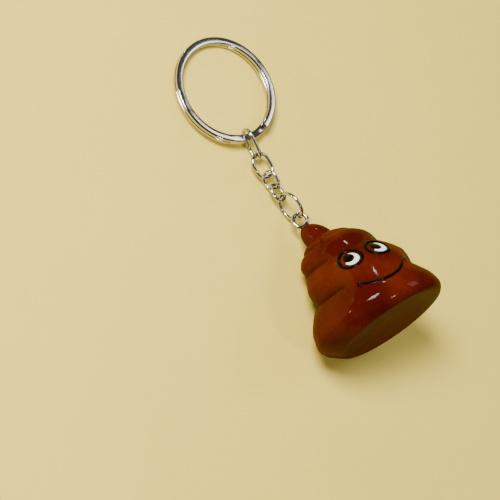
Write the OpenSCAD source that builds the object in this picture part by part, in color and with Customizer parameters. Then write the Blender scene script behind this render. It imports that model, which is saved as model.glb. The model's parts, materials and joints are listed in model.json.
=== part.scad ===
// Novelty keychain: a split ring, a short chain of round-wire links, a jump ring and an eye pin
// that is screwed into the tip of a glossy moulded swirl with a plain smiling face.
// Everything lies on the plane z = 0 as it would on a table, with the ring towards -x and the
// charm on its back towards +x, so that its face looks up. Sizes are in millimetres.

/* [Split ring] */
// Outside diameter of the split ring
ring_od = 30; // [24:0.5:36]
// Radial width of the flattened wire
ring_w = 2; // [1.6:0.1:2.6]
// Thickness of one turn of the wire
ring_t = 1.12; // [0.8:0.02:1.3]
// Air between the two turns
turn_gap = 0.04; // [0.02:0.01:0.1]
// Rounding of the wire's edges
ring_edge_r = 0.34; // [0.15:0.01:0.38]
// Angle of the ring that the wire needs to climb from one turn to the other
climb_angle = 48; // [36:1:70]

/* [Chain] */
// Diameter of the chain links' wire
link_wire = 1; // [0.8:0.05:1.1]
// Outside length of the link on the split ring
link_1_len = 9.4; // [8.6:0.1:12]
// Outside width of the link on the split ring
link_1_w = 5.4; // [5.2:0.1:6.5]
// Outside length of the second link
link_2_len = 7.6; // [6.6:0.1:10]
// Outside width of the second link
link_2_w = 5.9; // [4.6:0.1:6.5]
// Outside length of the third link
link_3_len = 5.8; // [5.4:0.1:8]
// Outside width of the third link
link_3_w = 4.8; // [4.2:0.1:5.4]
// Outside length of the fourth link
link_4_len = 5.8; // [5.4:0.1:8]
// Outside width of the fourth link
link_4_w = 4.5; // [4.2:0.1:5.4]
// Width of the butt joint in each bent link
seam_gap = 0.08; // [0.04:0.01:0.2]
// Air between two wires that hook into each other
hook_gap = 0.16; // [0.06:0.01:0.2]

/* [Jump ring] */
// Outside diameter of the jump ring
jump_od = 8.8; // [8:0.1:10.5]
// Diameter of the jump ring's wire
jump_wire = 1; // [0.8:0.05:1.1]

/* [Eye pin] */
// Outside diameter of the loop
eye_od = 4.9; // [4.6:0.1:6]
// Diameter of the pin's wire
eye_wire = 1.1; // [0.9:0.05:1.2]
// Length of the threaded shank below the loop
shank_len = 9; // [6:0.5:12]
// Pitch of the shank's thread
thread_pitch = 0.8; // [0.5:0.1:1.2]
// Depth of the shank's thread
thread_depth = 0.09; // [0.05:0.01:0.14]
// Clearance of the pin in the hole moulded in the charm
pin_fit = 0.03; // [0.02:0.01:0.08]
// Height of the loop's centre above the charm's tip
eye_rise = 2.1; // [1.7:0.1:2.8]
// Turn of the loop about the pin's own length, 0 faces the way that the charm looks
eye_turn = 20; // [0:1:45]

/* [Charm] */
// Height of the charm from its flat base to its tip
charm_h = 35; // [30:0.5:42]
// Radius of the bottom roll
roll_r = 18.2; // [15:0.2:22]
// Height at which the bottom roll is widest
roll_h = 4.6; // [3.5:0.1:6]
// Radius of the flat base
base_r = 15.4; // [12:0.2:18]
// Roundness of the rolls' outline: small is a blunt dome, 1 is a straight cone
taper = 0.5; // [0.35:0.01:0.7]
// How far below the tip the dome of rolls would close
dome_drop = 4; // [2:0.5:8]
// Radius of the small tip on top of the rolls
tip_r = 3.8; // [3:0.1:5]
// Height of the small tip's own dome
tip_h = 5.2; // [4:0.1:8]
// How much further the bottom roll bulges on the side where it is thickest
roll_swell = 0.1; // [0:0.01:0.12]
// How far each roll is undercut above the crease below it: 0 is not at all, 1 is a full step
roll_step = 0.6; // [0:0.05:0.8]
// Extra radius of the topmost roll
top_swell = 1.4; // [0:0.1:2]
// Height where the lowest crease passes the right side of the face
crease_h = 7.6; // [6:0.1:10]
// Depth of the creases as a share of the radius
crease_depth = 0.1; // [0.04:0.01:0.14]
// How much each half turn of the swirl shrinks
swirl_shrink = 0.77; // [0.7:0.01:0.85]
// Backward lean of the swirl per millimetre of height
lean = 0.13; // [0.05:0.01:0.2]
// Sideways curl of the tip
tip_curl = 1.8; // [0:0.1:3]

/* [Face] */
// Outside diameter of the eye outlines
eye_ring_d = 7; // [5.5:0.1:8]
// Width of the eye outlines
eye_ring_w = 0.95; // [0.5:0.05:1.2]
// Turn of the face about the charm's axis, 0 looks straight up
face_turn = -13; // [-20:1:20]
// Height of the eyes' centres above the base
eye_h = 17.1; // [15:0.1:20]
// How much higher one eye is than the middle of both
eye_tilt = 0.4; // [0:0.1:0.8]
// Bare surface between the two eye outlines
eye_gap = 1.2; // [0.4:0.1:4]
// Diameter of the pupils
pupil_d = 2.9; // [2:0.1:3.6]
// Half width of the smile, as an angle around the charm
smile_angle = 28.5; // [20:0.5:42]
// Height of the lowest point of the smile
smile_h = 7; // [6:0.1:11]
// Rise of the smile's ends
smile_rise = 3.1; // [1:0.1:5]
// How much higher the smile's end on the far side is than the middle of both ends
smile_tilt = 0.5; // [0:0.1:1]
// Thickness of the smile's line
smile_w = 1; // [0.5:0.05:1.2]
// How far the painted marks stand above the surface
paint_up = 0.14; // [0.08:0.01:0.25]
// How far the painted marks reach into the surface
paint_in = 0.16; // [0.1:0.01:0.3]

/* [Hidden] */
$fn = 72;

// ---- the charm's surface, in the charm's own frame: x is the way the face looks, z the axis ----
RIGHT_SIDE = 52;        // angle at which the lowest crease has the height crease_h
rings = 36;             // rows of the surface between base and tip
sides = 56;             // points around each row
ring_rows = 112;        // sections along the split ring's wire
NOSE = 0.4;             // how far above the tip the spiral would close
SHARP = 3;              // how narrow the creases are
TIP_BLUNT = 0.15;       // keeps the tip's dome from closing to a point
FOOT_FADE = [0.6, 3.4]; // heights between which the creases appear
FACE_EDGE = [30, 52];   // angles between which the smooth face ends
LEAN_FROM = 5;          // height where the lean starts
CURL_FROM = 22;         // height where the tip starts to curl
THICK_SIDE = RIGHT_SIDE - 180; // angle at which the bottom roll is thickest
FLAT_TOP = 0.3;         // share of the last row's radius that closes the tip
dome_h = charm_h - dome_drop;

function ramp(x, lo, hi) = let (u = max(0, min(1, (x - lo) / (hi - lo)))) u * u * (3 - 2 * u);
function wrap(angle) = angle - 360 * floor((angle + 180) / 360);
function over(x) = (x + sqrt(x * x + 4)) / 2;

// Outline without creases: a rounded foot, a blunt dome of rolls and a small tip on top.
function foot(h) = base_r + (roll_r - base_r) * (1 - pow(1 - min(h, roll_h) / roll_h, 2));
function dome(h) = h < roll_h ? foot(h)
    : roll_r * pow(max(0, dome_h - h) / (dome_h - roll_h), taper)
        + top_swell * ramp(h, dome_h - 11, dome_h - 5) * (1 - ramp(h, dome_h - 4, dome_h));
function tip_dome(h) = tip_r * sqrt(1 - pow((h - charm_h + tip_h) / (tip_h + TIP_BLUNT), 2));
function outline(h) = h < charm_h - tip_h ? max(dome(h), tip_r)
    : tip_dome(h);

// The creases follow one spiral that rises as the angle falls, and shrinks with each half turn.
function half_turns(h) = ln((charm_h - h + NOSE) / (charm_h - crease_h)) / ln(swirl_shrink);
function height_at(n) = charm_h + NOSE - (charm_h - crease_h) * pow(swirl_shrink, n);
function behind(angle) = (RIGHT_SIDE - angle) / 180;
function spiral(angle, h) = (half_turns(h) - behind(angle)) / 2;
function roll_middle(angle, h) = height_at(2 * floor(spiral(angle, h)) + 1 + behind(angle));
function from_crease(f) = 1 - 2 * min(f - floor(f), ceil(f) - f);
function notch(angle, h) = 1 - sqrt(1 - pow(from_crease(spiral(angle, h)), SHARP));
// The face is smooth, and so are the foot's edge and the tip.
function smoothed(angle, h) =
    ramp(h, FOOT_FADE[0], FOOT_FADE[1]) * (1 - ramp(h, dome_h - 4, dome_h - 1))
    * (1 - (1 - ramp(abs(angle - face_turn), FACE_EDGE[0], FACE_EDGE[1])) * (1 - ramp(h, dome_h - 5, dome_h - 2)));
function swell(angle, h) = 1 + roll_swell * cos(angle - THICK_SIDE) * ramp(h, 0, roll_h)
    * (1 - ramp(h, crease_h, 2 * crease_h));
function stepped(angle, h) = let (m = min(dome_h - 2, max(h, roll_middle(angle, h))))
    outline(h) - roll_step * smoothed(angle, h) * ramp(h, roll_h, crease_h)
        * max(0, outline(h) - outline(m));
function radius(angle, h) = let (a = wrap(angle))
    stepped(a, h) * swell(a, h) * (1 - crease_depth * notch(a, h) * smoothed(a, h));

// The middle of each row leans back and curls to one side near the tip.
function middle(h) = [-lean * (over(h - LEAN_FROM) - over(-LEAN_FROM)),
    -tip_curl * pow(max(0, h - CURL_FROM) / (charm_h - CURL_FROM), 2), h];
function skin(angle, h, up = 0) =
    middle(h) + radius(angle, h) * [cos(angle), sin(angle), 0]
    + up * [cos(angle) * cos(face_slope), sin(angle) * cos(face_slope), sin(face_slope)];
face_slope = atan((outline(eye_h - 3) - outline(eye_h + 3)) / 6);

// ---- how the charm lies: on its bottom roll and on the highest roll that the lean brings down ----
function back(h) = radius(180, h) - middle(h)[0];
lie_angle = min([for (h = [12:0.5:charm_h - 2]) atan((back(roll_h) - back(h)) / (h - roll_h))]);
charm_lift = max([for (h = [0:0.25:charm_h]) back(h) * cos(lie_angle) + h * sin(lie_angle)]);

// ---- the chain, laid out from the charm's tip towards the split ring ----
tip = middle(charm_h);
eye_r = (eye_od - eye_wire) / 2;
jump_r = (jump_od - jump_wire) / 2;
link_size = [[link_1_len, link_1_w], [link_2_len, link_2_w], [link_3_len, link_3_w],
    [link_4_len, link_4_w]];
link_lean = [100, 8, 66, -12];     // turn of each link about its own length, 0 is flat
link_yaw = [2, 9, 3, 5];           // sideways heading of each link
link_fall = [0, -3, 0, 9];         // fall of each link towards the split ring
jump_yaw = 11;                     // heading of the jump ring
JUMP_HOOK = 206;                   // place on the jump ring where the chain hooks in
JUMP_CUT = 262;                    // place on the jump ring where its ends meet
ring_bar_in = 0;                   // how far the ring's wire sits beyond the centre of the link's bend
ring_drop = 0.4;                   // how far below the link's upper side that wire rests
EDGE_CUT = 0.29;                   // share of the rounding that a rounded corner loses each way

// The charm's frame is turned so that its axis falls towards the tip, which points to -x.
function laid(p) = [-p[0] * sin(lie_angle) - p[2] * cos(lie_angle), p[1],
    p[0] * cos(lie_angle) - p[2] * sin(lie_angle) + charm_lift];
function heading(yaw, fall) = [-cos(yaw) * cos(fall), -sin(yaw) * cos(fall), -sin(fall)];
hook = link_wire + hook_gap;                     // distance of two hooked link wires
jump_hook = (link_wire + jump_wire) / 2 + hook_gap;
eye_hook = (eye_wire + jump_wire) / 2 + hook_gap;

eye_centre = laid(tip + [0, 0, eye_rise]);
eye_end = laid(tip + [0, 0, eye_rise + eye_r]);
jump_drop = asin(max(-0.9, (jump_od / 2 - eye_end[2]) / (jump_r - eye_hook)));
jump_centre = eye_end + (jump_r - eye_hook) * heading(jump_yaw, -jump_drop);
hook_4 = jump_centre + (jump_r - jump_hook) * heading(jump_yaw, JUMP_HOOK - 180);

// The near end (towards the charm) and the far end of each link's wire centre line.
function reach(i) = link_size[i][0] - link_wire;
function way(i) = heading(link_yaw[i], link_fall[i]);
function near_end(i) = i == 3 ? hook_4 : far_end(i + 1) - hook * way(i + 1);
function far_end(i) = near_end(i) + reach(i) * way(i);

ring_r = (ring_od - ring_w) / 2;
ring_height = 2 * ring_t + turn_gap;
bend_centre = far_end(0) - (link_1_w - link_wire) / 2 * way(0);
// The ring's wire rests in the first link's bend, clear of it at its upper corner.
corner_in = ring_bar_in + ring_w / 2 - EDGE_CUT * ring_edge_r;
corner_lift = sqrt(pow(link_1_w / 2 - link_wire - hook_gap, 2) - corner_in * corner_in);
bar = bend_centre + ring_bar_in * way(0)
    + [0, 0, corner_lift - ring_drop - ring_t / 2 + EDGE_CUT * ring_edge_r];
ring_tilt = asin((bar[2] - ring_height / 2) / (ring_r + ring_od / 2));
ring_centre = bar - ring_r * [cos(ring_tilt), 0, sin(ring_tilt)];

// ---- the origin is under the middle of everything ----
charm_east = max([for (h = [0:0.25:roll_h]) back(h) * sin(lie_angle) - h * cos(lie_angle)]);
ring_west = ring_centre[0] - ring_od / 2 * cos(ring_tilt) - ring_height / 2 * sin(ring_tilt);
charm_north = max([for (h = [2:0.25:8], a = [60:3:120]) skin(a, h)[1]]);
charm_south = min([for (h = [2:0.25:8], a = [60:3:120]) skin(-a, h)[1]]);
origin = [(charm_east + ring_west) / 2, (max(charm_north, ring_centre[1] + ring_od / 2)
    + min(charm_south, ring_centre[1] - ring_od / 2)) / 2, 0];
METAL = "#c9ccd0";
BROWN = "#6e2408";
BLACK = "#141210";

// ---- wire shapes ----
function round_box(w, t, r, steps = 3) = [for (q = [0:3]) for (s = [0:steps])
    let (a = q * 90 + s * 90 / steps, sx = q == 0 || q == 3 ? 1 : -1, sy = q < 2 ? 1 : -1)
        [sx * (w / 2 - r) + r * cos(a), sy * (t / 2 - r) + r * sin(a)]];

// A closed or capped skin over rows of points that all have the same length.
module skin_over(rows, closed = false) {
    n = len(rows[0]);
    m = len(rows);
    last = closed ? m - 1 : m - 2;
    walls = [for (i = [0:last], j = [0:n - 1]) let (k = (i + 1) % m, l = (j + 1) % n)
        each [[i * n + j, k * n + j, k * n + l], [i * n + j, k * n + l, i * n + l]]];
    caps = closed ? [] : [[for (j = [0:n - 1]) j], [for (j = [n - 1:-1:0]) (m - 1) * n + j]];
    polyhedron([for (row = rows) each row], concat(walls, caps), convexity = 8);
}

// One flattened wire through two flat turns, joined where a single thickness of it climbs.
module split_ring() {
    swept = 720 - climb_angle;
    section = round_box(ring_w, ring_t, ring_edge_r);
    color(METAL) translate(ring_centre) rotate([0, -ring_tilt, 0])
        skin_over([for (s = [0:ring_rows]) let (a = swept * (0.5 - s / ring_rows),
            up = (ring_t + turn_gap) * (ramp(-a, -climb_angle / 2, climb_angle / 2) - 0.5))
                [for (p = section) [(ring_r + p[0]) * cos(a), (ring_r + p[0]) * sin(a), up + p[1]]]]);
}

// A link of round wire: two straight sides and two half-round bends, closed by a butt joint.
module wire_link(length, width, wire) {
    bend = (width - wire) / 2;
    side = length - width;
    difference() {
        union() {
            for (s = [1, -1]) translate([s * side / 2, 0, 0]) rotate([0, 0, s > 0 ? -90 : 90])
                rotate_extrude(angle = 180) translate([bend, 0]) circle(d = wire);
            for (s = [1, -1]) translate([0, s * bend, 0]) rotate([0, 90, 0])
                cylinder(d = wire, h = side, center = true);
        }
        translate([0, -bend, 0]) cube([seam_gap, 2 * wire, 2 * wire], center = true);
    }
}

module chain_link(i) {
    color(METAL) translate((near_end(i) + far_end(i)) / 2)
        rotate([0, -link_fall[i], link_yaw[i]]) rotate([link_lean[i], 0, 0])
            wire_link(link_size[i][0], link_size[i][1], link_wire);
}

// A round ring of wire whose cut ends almost meet.
module jump_ring() {
    gap = seam_gap / jump_r * 180 / PI;
    color(METAL) translate(jump_centre) rotate([90, 0, jump_yaw]) rotate([0, 0, JUMP_CUT])
        rotate_extrude(start = gap / 2, angle = 360 - gap)
            translate([jump_r, 0]) circle(d = jump_wire);
}

// ---- the charm and what is fixed to it ----
module in_charm_frame() {
    translate([0, 0, charm_lift]) rotate([0, -90 - lie_angle, 0]) children();
}

// The pin along the charm's axis, made fat by a clearance to cut its own hole.
module pin(more = 0) {
    translate(tip + [0, 0, eye_rise]) rotate([0, 90, -eye_turn])
        rotate_extrude() translate([eye_r, 0]) circle(d = eye_wire + 2 * more);
    translate(tip + [0, 0, eye_rise - eye_r - shank_len])
        cylinder(d = eye_wire + 2 * more, h = shank_len);
}

module eye_pin() {
    grooves = floor((shank_len - 2) / thread_pitch);
    color(METAL) in_charm_frame() difference() {
        pin();
        for (g = [1:grooves]) translate(tip + [0, 0, eye_rise - eye_r - shank_len + g * thread_pitch])
            rotate_extrude() translate([eye_wire / 2, 0]) circle(r = thread_depth, $fn = 4);
    }
}

module charm_body() {
    rows = [for (i = [0:rings - 1]) let (h = charm_h * (1 - pow(1 - i / rings, 1.35)))
        [for (j = [0:sides - 1]) skin(-j * 360 / sides, h)]];
    top = [for (j = [0:sides - 1]) middle(charm_h)
        + FLAT_TOP * outline(charm_h) * [cos(-j * 360 / sides), sin(-j * 360 / sides), 0]];
    color(BROWN) in_charm_frame() difference() {
        skin_over(concat(rows, [top]));
        pin(pin_fit);
    }
}

// ---- painted marks: thin skins that follow the surface of the face ----
// A place on the face is [angle, height], and a step from it is [sideways, up], in millimetres.
function on_face(place, step, up) =
    skin(place[0] + step[0] / outline(place[1]) * 180 / PI, place[1] + step[1] * cos(face_slope), up);

// A band around a point of the face, between two radii that may change with the direction.
module painted_band(place, shift, inner, outer, from = 0, to = 360, steps = 36) {
    closed = to - from >= 360;
    skin_over([for (s = [0:steps - (closed ? 1 : 0)]) let (a = from + s * (to - from) / steps)
        [for (c = [[inner(a), -paint_in], [inner(a), paint_up], [outer(a), paint_up],
            [outer(a), -paint_in]])
                on_face(place, shift + c[0] * [cos(a), sin(a)], c[1])]], closed);
}

module painted_disc(place, shift, r, steps = 30) {
    hub = 0.02;
    skin_over([for (c = [[hub, -paint_in], [r, -paint_in], [r, paint_up], [hub, paint_up]])
        [for (s = [0:steps - 1]) let (a = s * 360 / steps)
            on_face(place, shift + c[0] * [cos(a), sin(a)], c[1])]]);
}

PAINT_GAP = 0.03;             // bare line between two painted marks
WHITE_MIN = 0.08;             // a white crescent's end is this far outside the pupil
pupil_at = [-0.2, 0.42];      // the pupils look up and a little to one side
white_at = [0.25, -0.38];     // the whites show on the other side of them
white_from = -150;            // where each white crescent starts and ends
white_to = 70;
white_r = eye_ring_d / 2 - eye_ring_w - norm(white_at) - PAINT_GAP;
eye_angle = (eye_ring_d + eye_gap) / 2 / outline(eye_h) * 180 / PI;
function eye_place(side) = [face_turn + side * eye_angle, eye_h - side * eye_tilt];
function white_edge(a) = let (d = white_at - pupil_at, along = d[0] * cos(a) + d[1] * sin(a),
    across = -d[0] * sin(a) + d[1] * cos(a))
        max(pupil_d / 2 + WHITE_MIN, along + sqrt(white_r * white_r - across * across));

module eye_outline(side) {
    color(BLACK) in_charm_frame() painted_band(eye_place(side), [0, 0],
        function(a) eye_ring_d / 2 - eye_ring_w, function(a) eye_ring_d / 2);
}

module eye_white(side) {
    color("white") in_charm_frame() painted_band(eye_place(side), pupil_at,
        function(a) pupil_d / 2 + PAINT_GAP, function(a) white_edge(a), white_from, white_to);
}

module pupil(side) {
    color(BLACK) in_charm_frame() painted_disc(eye_place(side), pupil_at, pupil_d / 2);
}

module smile_line() {
    steps = 26;
    color(BLACK) in_charm_frame()
        skin_over([for (s = [0:steps]) let (t = 2 * s / steps - 1, w = smile_w / 2,
            h = smile_h + smile_rise * t * t + smile_tilt * t)
                [for (c = [[-w, -paint_in], [-w, paint_up], [w, paint_up], [w, -paint_in]])
                    skin(face_turn + t * smile_angle, h + c[0], c[1])]]);
}

// ---- everything is drawn from here ----
module placed() {
    translate(-origin) children();
}

placed() split_ring();
placed() chain_link(0);  // link_1
placed() chain_link(1);  // link_2
placed() chain_link(2);  // link_3
placed() chain_link(3);  // link_4
placed() jump_ring();
placed() eye_pin();
placed() charm_body();
placed() eye_outline(-1);  // eye_outline_left
placed() eye_outline(1);  // eye_outline_right
placed() eye_white(-1);  // eye_white_left
placed() eye_white(1);  // eye_white_right
placed() pupil(-1);  // pupil_left
placed() pupil(1);  // pupil_right
placed() smile_line();
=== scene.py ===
# %% [markdown]
# # A keychain with a glossy swirl charm
#
# This file dresses a keychain that already exists as exact solids: a split ring, a short chain, a jump
# ring, an eye pin and a moulded charm. Each cell below makes one kind of piece or one finish, says why
# it is made that way, and prints what it made. The charm, its painted marks and the split ring are
# shaped here again, smoother than the solids. The chain's wires stay as they are and get a better
# finish.

# %% Load the solids
import json
import math

import bmesh
import bpy
from mathutils import Matrix, Vector


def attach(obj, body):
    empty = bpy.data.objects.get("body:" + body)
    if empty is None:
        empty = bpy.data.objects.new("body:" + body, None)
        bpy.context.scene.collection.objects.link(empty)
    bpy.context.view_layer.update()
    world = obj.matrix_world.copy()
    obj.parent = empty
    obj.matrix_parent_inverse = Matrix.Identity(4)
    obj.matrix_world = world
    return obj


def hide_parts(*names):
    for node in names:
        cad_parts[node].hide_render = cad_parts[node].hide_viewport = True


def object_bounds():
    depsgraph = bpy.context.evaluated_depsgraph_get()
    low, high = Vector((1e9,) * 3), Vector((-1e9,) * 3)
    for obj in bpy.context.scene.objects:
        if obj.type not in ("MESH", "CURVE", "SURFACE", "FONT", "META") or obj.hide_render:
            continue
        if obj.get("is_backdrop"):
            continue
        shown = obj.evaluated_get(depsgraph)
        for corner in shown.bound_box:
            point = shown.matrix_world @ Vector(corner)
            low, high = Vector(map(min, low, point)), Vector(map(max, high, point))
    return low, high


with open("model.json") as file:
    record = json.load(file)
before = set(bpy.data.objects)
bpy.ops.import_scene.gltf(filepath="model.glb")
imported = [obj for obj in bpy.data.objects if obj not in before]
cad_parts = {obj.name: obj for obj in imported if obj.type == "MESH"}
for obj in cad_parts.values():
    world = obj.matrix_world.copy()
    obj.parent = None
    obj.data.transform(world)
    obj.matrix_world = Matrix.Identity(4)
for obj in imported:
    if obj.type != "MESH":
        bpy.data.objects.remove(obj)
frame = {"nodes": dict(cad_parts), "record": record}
cad_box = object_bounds()
record = frame["record"]
nodes = frame["nodes"]
MM = 0.001
size_mm = [(high - low) / MM for low, high in zip(*cad_box)]
print("solids:", len(nodes), "size in mm:", [round(s, 1) for s in size_mm])

# %% [markdown]
# ## Where things are
#
# The record says where the charm's flat base is and which way it faces. That one mount fixes the charm's
# own frame: x is the way the face looks, y is sideways and z runs from the base to the tip. Another mount
# places the split ring. Reading them keeps this file right if the solids are repacked.

# %% The charm's own frame
mounts = {m["name"]: m for m in record["mounts"]}
base_at = Vector(mounts["base"]["pos_m"])
base_out = Vector(mounts["base"]["axis"]).normalized()
side_way = Vector((0, 1, 0))
face_way = side_way.cross(-base_out).normalized()
charm_frame = Matrix((face_way, side_way, -base_out)).transposed().to_4x4()
charm_frame.translation = base_at
print("charm frame: face looks along", [round(c, 3) for c in face_way])

# %% [markdown]
# ## The charm's surface
#
# The charm is a swirl of soft rolls. It could be sculpted, or stacked from separate rings, but one
# formula gives it the single skin that a moulding has. The outline is a rounded foot, a blunt dome and a
# small tip. One spiral of creases climbs round it and shrinks with every half turn, and the creases fade
# out under the face, at the foot and at the tip. The middle of each level leans back a little and the tip
# curls to one side. Where foot and dome meet, three nearby levels are averaged, so that the bottom roll is
# round at its widest. Angles are in degrees from the middle of the face, and lengths are in millimetres.

# %% The charm's sizes
charm_h, roll_r, roll_h, base_r = 35.0, 18.2, 4.6, 15.4
taper, tip_r, tip_h, tip_blunt, dome_h = 0.5, 3.8, 5.2, 0.15, 31.0
roll_swell, roll_step, top_swell, swirl_shrink = 0.1, 0.6, 1.4, 0.77
crease_h, crease_depth, crease_sharpness = 7.6, 0.1, 3
lean, lean_from, tip_curl, curl_from = 0.13, 5.0, 1.8, 22.0
right_side, thick_side, nose = 52.0, -128.0, 0.4
foot_fade, face_edge, face_turn = (0.6, 3.4), (30.0, 52.0), -13.0
top_roll_start, top_roll_end = (dome_h - 11, dome_h - 5), (dome_h - 4, dome_h)
crease_end, face_top = (dome_h - 4, dome_h - 1), (dome_h - 5, dome_h - 2)
highest_middle = dome_h - 2
soft_reach, soft_start, soft_end = 1.6, (1.0, 3.5), (6.5, 9.0)
eye_h, eye_tilt, ring_d, ring_w, eye_gap = 17.1, 0.4, 7.0, 0.95, 1.2


# %% The outline, from foot to tip
def ramp(x, low, high):
    u = max(0.0, min(1.0, (x - low) / (high - low)))
    return u * u * (3 - 2 * u)


def dome(h):
    if h < roll_h:
        return base_r + (roll_r - base_r) * (1 - (1 - h / roll_h) ** 2)
    top_roll = top_swell * ramp(h, *top_roll_start) * (1 - ramp(h, *top_roll_end))
    return roll_r * (max(0.0, dome_h - h) / (dome_h - roll_h)) ** taper + top_roll


def outline(h):
    if h < charm_h - tip_h:
        return max(dome(h), tip_r)
    return tip_r * math.sqrt(max(0.0, 1 - ((h - charm_h + tip_h) / (tip_h + tip_blunt)) ** 2))


# %% The spiral of creases
def spiral(angle, h):
    half_turns = math.log((charm_h - h + nose) / (charm_h - crease_h)) / math.log(swirl_shrink)
    return (half_turns - (right_side - angle) / 180) / 2


def roll_middle(angle, h):
    turns = 2 * math.floor(spiral(angle, h)) + 1 + (right_side - angle) / 180
    return charm_h + nose - (charm_h - crease_h) * swirl_shrink ** turns


def notch(angle, h):
    f = spiral(angle, h)
    near = 1 - 2 * min(f - math.floor(f), math.ceil(f) - f)
    return 1 - math.sqrt(max(0.0, 1 - near ** crease_sharpness))


def creased(angle, h):
    face = (1 - ramp(abs(angle - face_turn), *face_edge)) * (1 - ramp(h, *face_top))
    return ramp(h, *foot_fade) * (1 - ramp(h, *crease_end)) * (1 - face)


# %% The skin itself
def radius(angle, h):
    a = angle - 360 * math.floor((angle + 180) / 360)
    level = min(highest_middle, max(h, roll_middle(a, h)))
    undercut = max(0.0, outline(h) - outline(level))
    step = roll_step * creased(a, h) * ramp(h, roll_h, crease_h) * undercut
    thick = math.cos(math.radians(a - thick_side))
    swell = 1 + roll_swell * thick * ramp(h, 0, roll_h) * (1 - ramp(h, crease_h, 2 * crease_h))
    return (outline(h) - step) * swell * (1 - crease_depth * notch(a, h) * creased(a, h))


def middle(h):
    def over(x):
        return (x + math.sqrt(x * x + 4)) / 2
    back = -lean * (over(h - lean_from) - over(-lean_from))
    return Vector((back, -tip_curl * (max(0, h - curl_from) / (charm_h - curl_from)) ** 2, h))


face_slope = math.atan((outline(eye_h - 3) - outline(eye_h + 3)) / 6)


def soft_radius(angle, h):
    near = soft_reach * ramp(h, *soft_start) * (1 - ramp(h, *soft_end))
    return (radius(angle, h - near) + 2 * radius(angle, h) + radius(angle, h + near)) / 4


def skin(angle, h, up=0.0):
    a = math.radians(angle)
    outward = Vector((math.cos(a), math.sin(a), 0))
    lifted = up * (outward * math.cos(face_slope) + Vector((0, 0, math.sin(face_slope))))
    return charm_frame @ ((middle(h) + soft_radius(angle, h) * outward + lifted) * MM)


def on_face(place, u, v, up):
    turned = place[0] + math.degrees(u / outline(place[1]))
    return skin(turned, place[1] + v * math.cos(face_slope), up)


print("widest radius in mm:", round(radius(thick_side, roll_h), 2), "slope at the eyes:",
      round(math.degrees(face_slope), 1))

# %% [markdown]
# ## Finishes
#
# Four kinds of finish cover the object: nickel plate, brown resin under a clear coat, and black and white
# paint. The nickel comes twice, a little brighter on the split ring than on the chain. Each is built from
# noise in the object's own coordinates, so the marks stay on the piece from every side. Roughness varies a
# little everywhere, because a perfectly even gloss looks like a drawing.


# %% Helpers for finishes
def finish_named(name):
    material = bpy.data.materials.new(name)
    material.use_nodes = True
    shader = material.node_tree.nodes["Principled BSDF"]
    return material, material.node_tree, shader


def noise(tree, scale, detail=4.0, roughness=0.5, stretch=(1, 1, 1)):
    place = tree.nodes.new("ShaderNodeTexCoord")
    mapping = tree.nodes.new("ShaderNodeMapping")
    mapping.inputs["Scale"].default_value = stretch
    cloud = tree.nodes.new("ShaderNodeTexNoise")
    cloud.inputs["Scale"].default_value = scale
    cloud.inputs["Detail"].default_value = detail
    cloud.inputs["Roughness"].default_value = roughness
    tree.links.new(place.outputs["Object"], mapping.inputs["Vector"])
    tree.links.new(mapping.outputs["Vector"], cloud.inputs["Vector"])
    return cloud.outputs["Fac"]


def between(tree, source, low, high, start=0.35, end=0.65):
    spread = tree.nodes.new("ShaderNodeMapRange")
    spread.inputs["From Min"].default_value = start
    spread.inputs["From Max"].default_value = end
    spread.inputs["To Min"].default_value = low
    spread.inputs["To Max"].default_value = high
    tree.links.new(source, spread.inputs["Value"])
    return spread.outputs["Result"]


def blend(tree, share, first, second):
    mix = tree.nodes.new("ShaderNodeMix")
    mix.data_type = "RGBA"
    tree.links.new(share, mix.inputs["Factor"])
    for socket, colour in ((mix.inputs["A"], first), (mix.inputs["B"], second)):
        if isinstance(colour, tuple):
            socket.default_value = (*colour, 1)
        else:
            tree.links.new(colour, socket)
    return mix.outputs["Result"]


def bumped(tree, shader, height, depth, strength=0.4):
    bump = tree.nodes.new("ShaderNodeBump")
    bump.inputs["Strength"].default_value = strength
    bump.inputs["Distance"].default_value = depth
    tree.links.new(height, bump.inputs["Height"])
    tree.links.new(bump.outputs["Normal"], shader.inputs["Normal"])


# %% Nickel plate
def nickel_plate(name, tone, smoothness):
    material, tree, shader = finish_named(name)
    shader.inputs["Metallic"].default_value = 1.0
    cloud = noise(tree, 260, detail=3)
    worn = between(tree, noise(tree, 900, detail=6, roughness=0.7), 0.0, 1.0, 0.55, 0.75)
    dull = tuple(0.82 * c for c in tone)
    tree.links.new(blend(tree, worn, tone, dull), shader.inputs["Base Color"])
    tree.links.new(between(tree, cloud, smoothness, 2.2 * smoothness), shader.inputs["Roughness"])
    bumped(tree, shader, noise(tree, 2600, detail=2), 0.00001, 0.25)
    return material


ring_nickel = nickel_plate("ring_nickel", (0.5, 0.49, 0.47), 0.07)
link_nickel = nickel_plate("link_nickel", (0.46, 0.45, 0.43), 0.08)
print("nickel finishes:", ring_nickel.name, link_nickel.name)


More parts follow.
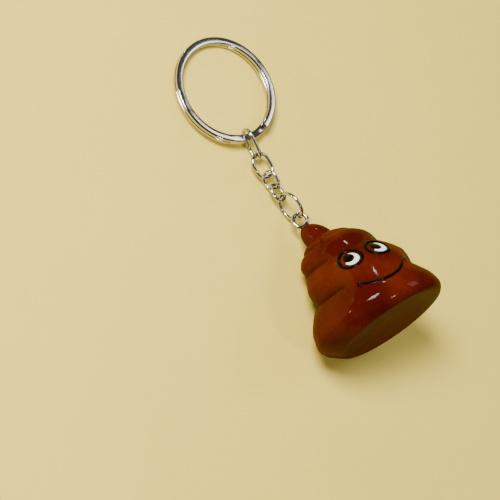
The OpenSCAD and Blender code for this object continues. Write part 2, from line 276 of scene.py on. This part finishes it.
# %% Brown resin under a clear coat
def brown_resin():
    material, tree, shader = finish_named("brown_resin")
    patches = between(tree, noise(tree, 75, detail=3), 0.0, 1.0, 0.38, 0.66)
    body = blend(tree, patches, (0.045, 0.0026, 0.0009), (0.084, 0.0074, 0.0012))
    flecks = between(tree, noise(tree, 1500, detail=2), 0.0, 0.25, 0.66, 0.72)
    speckled = blend(tree, flecks, body, (0.2, 0.045, 0.005))
    # painted shade: the resin is painted darker where the crease attribute is deep, standing in for the
    # shade that falls in the grooves
    crease = tree.nodes.new("ShaderNodeAttribute")
    crease.attribute_name = "crease"
    crease_shade_share = between(tree, crease.outputs["Fac"], 0.0, 0.75, 0.15, 1.0)
    painted_crease_shade = blend(tree, crease_shade_share, speckled, (0.022, 0.0013, 0.0005))
    tree.links.new(painted_crease_shade, shader.inputs["Base Color"])
    tree.links.new(between(tree, noise(tree, 420), 0.16, 0.3), shader.inputs["Roughness"])
    shader.inputs["Specular IOR Level"].default_value = 0.0
    shader.inputs["Coat Weight"].default_value = 0.12
    shader.inputs["Coat IOR"].default_value = 1.65
    shader.inputs["Coat Roughness"].default_value = 0.07
    shader.inputs["Subsurface Weight"].default_value = 0.04
    shader.inputs["Subsurface Radius"].default_value = (0.0012, 0.0003, 0.0001)
    bumped(tree, shader, noise(tree, 330, detail=3), 0.00012, 0.13)
    return material


resin = brown_resin()


# %% Black and white paint
def paint(name, tone, other_tone, rough):
    material, tree, shader = finish_named(name)
    patches = between(tree, noise(tree, 700, detail=4), 0.0, 1.0)
    tree.links.new(blend(tree, patches, tone, other_tone), shader.inputs["Base Color"])
    tree.links.new(between(tree, noise(tree, 500), rough, 2 * rough), shader.inputs["Roughness"])
    shader.inputs["Specular IOR Level"].default_value = 0.03
    shader.inputs["Coat Weight"].default_value = 0.05
    shader.inputs["Coat Roughness"].default_value = 0.06
    bumped(tree, shader, noise(tree, 900, detail=3), 0.00005, 0.25)
    return material


black_paint = paint("black_paint", (0.001, 0.0008, 0.0007), (0.0035, 0.0025, 0.002), 0.14)
white_paint = paint("white_paint", (0.84, 0.85, 0.83), (0.72, 0.73, 0.7), 0.16)
print("finishes:", [m.name for m in bpy.data.materials])


# %% [markdown]
# ## Turning a mesh into a piece
#
# Every piece is made in place, in the row's frame, so its object stays at the origin, unturned. The
# helper gives it a finish, smooth shading, a body to ride on, and hides the solid it stands for.


# %% Finish a piece
def finished_piece(name, bm, material, body, stands_for=()):
    bmesh.ops.recalc_face_normals(bm, faces=bm.faces)
    mesh = bpy.data.meshes.new(name)
    bm.to_mesh(mesh)
    bm.free()
    mesh.shade_smooth()
    mesh.materials.append(material)
    piece = bpy.data.objects.new(name, mesh)
    bpy.context.scene.collection.objects.link(piece)
    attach(piece, body)
    if stands_for:
        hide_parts(*stands_for)
    print(name, len(mesh.polygons), "faces")
    return piece


# %% [markdown]
# ## The charm
#
# A ball already closes neatly at both ends, so the charm starts as one and every point is sent to its
# place on the skin. The lowest rows become the flat base, the next ones the foot, which leaves the base
# at a clear edge, and the rest climb to the tip and crowd together there. The crease's depth is kept with
# each point, and the resin is painted darker there, as painted shade in the groove.

# %% Shape a ball into the charm
ROWS, SIDES = 150, 176
BASE_ROWS, FOOT_ROWS, TIP_ROWS = 9, 20, 26


def row_height(row):
    if row <= BASE_ROWS:
        return 0.0
    if row <= BASE_ROWS + FOOT_ROWS:
        return roll_h * (row - BASE_ROWS) / FOOT_ROWS
    if row >= ROWS - TIP_ROWS:
        return charm_h - tip_h * (1 - math.sin(math.pi / 2 * (row - ROWS + TIP_ROWS) / TIP_ROWS))
    share = (row - BASE_ROWS - FOOT_ROWS) / (ROWS - TIP_ROWS - BASE_ROWS - FOOT_ROWS)
    return roll_h + share * (charm_h - tip_h - roll_h)


def charm_piece():
    bm = bmesh.new()
    bmesh.ops.create_uvsphere(bm, u_segments=SIDES, v_segments=ROWS, radius=1)
    crease = bm.verts.layers.float.new("crease")
    for vert in bm.verts:
        row = round(ROWS * math.acos(max(-1.0, min(1.0, -vert.co.z))) / math.pi)
        angle = math.degrees(math.atan2(vert.co.y, vert.co.x))
        h = row_height(row)
        if row == ROWS:
            vert.co = charm_frame @ (middle(charm_h) * MM)
        elif row < BASE_ROWS:
            vert.co = base_at.lerp(skin(angle, 0), row / BASE_ROWS)
        else:
            vert.co = skin(angle, h)
            # crease depth, which the resin turns into painted shade
            vert[crease] = notch(angle, h) * creased(angle, h)
    return finished_piece("charm", bm, resin, "charm", ["charm_body"])


charm = charm_piece()

# %% [markdown]
# ## The painted marks
#
# Each eye is a raised black ring, a white crescent and a domed black pupil that looks towards the tip.
# Thick paint has rounded edges that catch the light, so every mark is a small swollen shape instead of a
# flat decal. It is made flat first, in millimetres, and then laid on the face by the charm's own skin
# formula, with its edge just under the surface.

# %% Sizes of the marks
pupil_d, pupil_at, white_at = 2.9, Vector((-0.2, 0.42)), Vector((0.25, -0.38))
paint_gap, white_min = 0.03, 0.08
white_r = ring_d / 2 - ring_w - white_at.length - paint_gap
white_from, white_to = -150.0, 70.0
smile_angle, smile_h, smile_rise, smile_tilt, smile_w = 28.5, 7.0, 3.1, 0.5, 1.0
SUNK, SWELLING = -0.1, 0.26
RING_LIFT, RING_FLATNESS, PUPIL_LIFT, PUPIL_DOME = 0.06, 0.55, 0.02, 0.2
WHITE_TUCK, SMILE_SPREAD = 0.05, 0.16
which = {-1: "left", 1: "right"}


def eye_place(side):
    apart = math.degrees((ring_d + eye_gap) / 2 / outline(eye_h))
    return face_turn + side * apart, eye_h - side * eye_tilt


# %% A ring of paint round each eye
def eye_ring(name, side):
    bm = bmesh.new()
    made = bmesh.ops.create_circle(bm, segments=14, radius=ring_w / 2)
    stand = Matrix.Translation(((ring_d - ring_w) / 2, 0, 0)) @ Matrix.Rotation(math.pi / 2, 4, "X")
    bmesh.ops.transform(bm, matrix=stand, verts=made["verts"])
    bmesh.ops.spin(bm, geom=bm.verts[:] + bm.edges[:], cent=(0, 0, 0), axis=(0, 0, 1),
                   angle=math.tau, steps=64, use_merge=True)
    for vert in bm.verts:
        vert.co = on_face(eye_place(side), vert.co.x, vert.co.y,
                          RING_LIFT + RING_FLATNESS * vert.co.z)
    return finished_piece(name, bm, black_paint, "charm", ["eye_outline_" + which[side]])


eye_rings = [eye_ring("eye_ring_" + which[side], side) for side in (-1, 1)]


# %% A domed pupil
def pupil(name, side):
    bm = bmesh.new()
    bmesh.ops.create_uvsphere(bm, u_segments=40, v_segments=20, radius=1)
    for vert in bm.verts:
        u, v = pupil_at.x + vert.co.x * pupil_d / 2, pupil_at.y + vert.co.y * pupil_d / 2
        vert.co = on_face(eye_place(side), u, v, PUPIL_LIFT + PUPIL_DOME * vert.co.z)
    return finished_piece(name, bm, black_paint, "charm", ["pupil_" + which[side]])


pupils = [pupil("eye_pupil_" + which[side], side) for side in (-1, 1)]


# %% A white crescent
def swollen(along, across):
    return SUNK + SWELLING * (1 - across ** 4) * (1 - along ** 12)


def white_edge(angle):
    offset = white_at - pupil_at
    way = Vector((math.cos(angle), math.sin(angle)))
    along, across = offset.dot(way), offset.cross(way)
    return max(pupil_d / 2 + white_min, along + math.sqrt(white_r ** 2 - across ** 2))


def eye_white(name, side):
    bm = bmesh.new()
    bmesh.ops.create_grid(bm, x_segments=60, y_segments=10, size=1)
    for vert in bm.verts:
        along, across = vert.co.x, vert.co.y
        angle = math.radians(white_from + (along + 1) / 2 * (white_to - white_from))
        inner = pupil_d / 2 - WHITE_TUCK
        reach = inner + (across + 1) / 2 * (white_edge(angle) - inner)
        u, v = pupil_at.x + reach * math.cos(angle), pupil_at.y + reach * math.sin(angle)
        vert.co = on_face(eye_place(side), u, v, swollen(along, across))
    return finished_piece(name, bm, white_paint, "charm", ["eye_white_" + which[side]])


whites = [eye_white("eye_crescent_" + which[side], side) for side in (-1, 1)]


# %% [markdown]
# The smile is one long stroke that thins towards its ends, where a short stroke crosses it like the fold
# of a cheek. Each is a strip of thick paint with sunk edges. The smile's strip is made a little wider than
# its line, because the sunk edges don't show.


# %% The smile
def stroke(bm, segments, path, width, taper_end):
    made = bmesh.ops.create_grid(bm, x_segments=segments, y_segments=8, size=1)
    for vert in made["verts"]:
        along, across = vert.co.x, vert.co.y
        angle, h = path(along)
        half = width / 2 * (1 - taper_end * abs(along) ** 6)
        vert.co = skin(angle, h + across * half, swollen(along, across))


def smile_path(along):
    return face_turn + along * smile_angle, smile_h + smile_rise * along ** 2 + smile_tilt * along


def smile():
    bm = bmesh.new()
    stroke(bm, 90, smile_path, smile_w + SMILE_SPREAD, 0.25)
    return finished_piece("smile", bm, black_paint, "charm", ["smile_line"])


smile_piece = smile()


CHEEK_HALF, CHEEK_THINNING = 0.32, 0.55
CHEEK_OUT, CHEEK_BOW, CHEEK_DOWN, CHEEK_REACH = 0.25, 0.4, -0.45, 1.2


def cheek_stroke(name, side):
    bm = bmesh.new()
    bmesh.ops.create_grid(bm, x_segments=24, y_segments=8, size=1)
    for vert in bm.verts:
        along, across = vert.co.x, vert.co.y
        half = CHEEK_HALF * (1 - CHEEK_THINNING * max(0, -along))
        u = side * (CHEEK_OUT - CHEEK_BOW * along ** 2) + across * half
        v = CHEEK_DOWN + CHEEK_REACH * along
        vert.co = on_face(smile_path(side), u, v, swollen(along, across))
    return finished_piece(name, bm, black_paint, "charm")


cheeks = [cheek_stroke("cheek_stroke_" + which[side], side) for side in (-1, 1)]

# %% [markdown]
# ## The wires
#
# The links, the jump ring and the eye pin are already exact round wire. They stay, with their split
# points welded so that the light runs smoothly over them.


# %% Dress the wires
WELD_WITHIN = 0.002 * MM


def dressed(name, material):
    wire = nodes[name]
    weld = wire.modifiers.new("one skin", "WELD")
    weld.merge_threshold = WELD_WITHIN
    wire.data.shade_smooth()
    wire.data.materials.clear()
    wire.data.materials.append(material)
    print(name, len(wire.data.polygons), "faces")


for name in ("link_1", "link_2", "link_3", "link_4", "jump_ring", "eye_pin"):
    dressed(name, link_nickel)

# %% [markdown]
# ## The split ring
#
# A split ring is one flattened wire wound twice. Its section starts as a circle that is squared off into
# a low crowned shape, because a face that bulges a little catches the light in bands, as rolled wire does.
# The section is spun once round for the lower turn, carried up over the climb in short steps that start
# and end gently, and spun again for the upper turn, so both cut ends show where real ones do.

# %% Wind the split ring
ring_od, wire_w, wire_t, turn_gap, climb = 30.0, 2.0, 1.12, 0.04, 48.0
CLIMB_STEPS, SQUARENESS = 20, 3.6


def ring_frame():
    axis = Vector(mounts["key_ring"]["axis"]).normalized()
    along = side_way.cross(axis).normalized()
    place = Matrix((along, side_way, axis)).transposed().to_4x4()
    place.translation = Vector(mounts["key_ring"]["pos_m"])
    return place


def squared(share):
    return math.copysign(abs(share) ** (2 / SQUARENESS), share)


def wound_on(bm, end, degrees, steps, rise=0.0):
    made = bmesh.ops.spin(bm, geom=end, cent=(0, 0, 0), axis=(0, 0, 1), angle=math.radians(degrees),
                          dvec=(0, 0, rise / steps), steps=steps)
    return made["geom_last"]


def split_ring():
    bm = bmesh.new()
    bmesh.ops.create_circle(bm, segments=40, radius=1)
    for vert in bm.verts:
        vert.co = (squared(vert.co.x) * wire_w / 2, squared(vert.co.y) * wire_t / 2, 0)
    stand = Matrix.Translation(((ring_od - wire_w) / 2, 0, -(wire_t + turn_gap) / 2))
    bmesh.ops.transform(bm, matrix=stand @ Matrix.Rotation(math.pi / 2, 4, "X"), verts=bm.verts)
    start = Matrix.Rotation(math.radians(-climb / 2), 4, "Z")
    bmesh.ops.transform(bm, matrix=start, verts=bm.verts)
    end = wound_on(bm, bm.verts[:] + bm.edges[:], climb - 360, 150)
    for step in range(CLIMB_STEPS):
        rise = ramp(step + 1, 0, CLIMB_STEPS) - ramp(step, 0, CLIMB_STEPS)
        end = wound_on(bm, end, -climb / CLIMB_STEPS, 1, rise * (wire_t + turn_gap))
    wound_on(bm, end, climb - 360, 150)
    bmesh.ops.holes_fill(bm, edges=[e for e in bm.edges if e.is_boundary], sides=0)
    caps = [f for f in bm.faces if len(f.verts) > 4]
    bmesh.ops.bevel(bm, geom=[e for f in caps for e in f.edges], offset=0.08, segments=2, profile=0.5,
                    affect="EDGES", material=-1)
    bmesh.ops.transform(bm, matrix=ring_frame() @ Matrix.Scale(MM, 4), verts=bm.verts)
    return finished_piece("wound_ring", bm, ring_nickel, "split_ring", ["split_ring"])


wound_ring = split_ring()

# %% [markdown]
# ## Floor, light and camera
#
# The keychain lies on a plain pale floor. One large soft light, high on the side of the tip, models the
# rolls and leaves the flat base in shade. A weak panel gives the flat faces of the metal something to
# show, and three small lights put the crisp spots on the gloss.
# The camera is a long lens, so that the ring and the charm keep their true proportions.


# %% The floor
FLOOR_DROP = 0.00004


def floor():
    bm = bmesh.new()
    bmesh.ops.create_grid(bm, x_segments=2, y_segments=2, size=1.5)
    lowest = Matrix.Translation((0, 0, min(cad_box[0][2], 0) - FLOOR_DROP))
    bmesh.ops.transform(bm, matrix=lowest, verts=bm.verts)
    mesh = bpy.data.meshes.new("floor")
    bm.to_mesh(mesh)
    bm.free()
    material, tree, shader = finish_named("pale_floor")
    tone = blend(tree, between(tree, noise(tree, 40), 0, 1), (0.88, 0.67, 0.1), (0.86, 0.655, 0.095))
    tree.links.new(tone, shader.inputs["Base Color"])
    shader.inputs["Roughness"].default_value = 0.6
    mesh.materials.append(material)
    plane = bpy.data.objects.new("floor", mesh)
    bpy.context.scene.collection.objects.link(plane)
    plane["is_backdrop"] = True


floor()

# %% The lights
middle_of_part = Vector([(low + high) / 2 for low, high in zip(*cad_box)])


def soft_light(name, place, width, height, power, tone=(1, 1, 1)):
    lamp = bpy.data.lights.new(name, "AREA")
    lamp.shape = "RECTANGLE"
    lamp.size, lamp.size_y = width, height
    lamp.energy, lamp.color = power, tone
    holder = bpy.data.objects.new(name, lamp)
    holder.location = middle_of_part + Vector(place)
    holder.rotation_euler = (-Vector(place)).to_track_quat("-Z", "Y").to_euler()
    bpy.context.scene.collection.objects.link(holder)


soft_light("key", (-0.24, -0.3, 0.5), 0.2, 0.2, 8.5, (1, 0.985, 0.96))
soft_light("panel", (-0.02, 0.42, 0.5), 0.3, 0.2, 0.8)
soft_light("far", (-0.58, 0.12, 0.22), 0.03, 0.045, 0.45)
soft_light("left", (-0.26, -0.55, 0.08), 0.04, 0.04, 0.6)
soft_light("overhead", (0.3, 0.0, 0.52), 0.06, 0.06, 0.6)
world = bpy.data.worlds.new("studio")
world.use_nodes = True
world.node_tree.nodes["Background"].inputs["Color"].default_value = (0.85, 0.82, 0.74, 1)
world.node_tree.nodes["Background"].inputs["Strength"].default_value = 0.13
bpy.context.scene.world = world

# %% The camera
CAMERA_AT = Vector((0.03094, -0.38302, 0.50173))
TOWARD_CAMERA = Vector((0.03424, -0.59059, 0.80624)).normalized()
PICTURE_UP = Vector((-0.90949, 0.31602, 0.27012))


def camera():
    lens = bpy.data.cameras.new("camera")
    lens.lens, lens.sensor_width = 171.6, 36.0
    lens.clip_start, lens.clip_end = 0.01, 10.0
    holder = bpy.data.objects.new("camera", lens)
    across = PICTURE_UP.cross(TOWARD_CAMERA).normalized()
    upward = TOWARD_CAMERA.cross(across)
    turned = Matrix((across, upward, TOWARD_CAMERA)).transposed().to_4x4()
    holder.matrix_world = Matrix.Translation(CAMERA_AT) @ turned
    bpy.context.scene.collection.objects.link(holder)
    bpy.context.scene.camera = holder


camera()

# %% Print the sizes and finish
boxes = {"cad": [list(corner) for corner in cad_box], "visual": [list(c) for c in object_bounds()]}
for name, box in boxes.items():
    print(name, [[round(c / MM, 2) for c in corner] for corner in box])
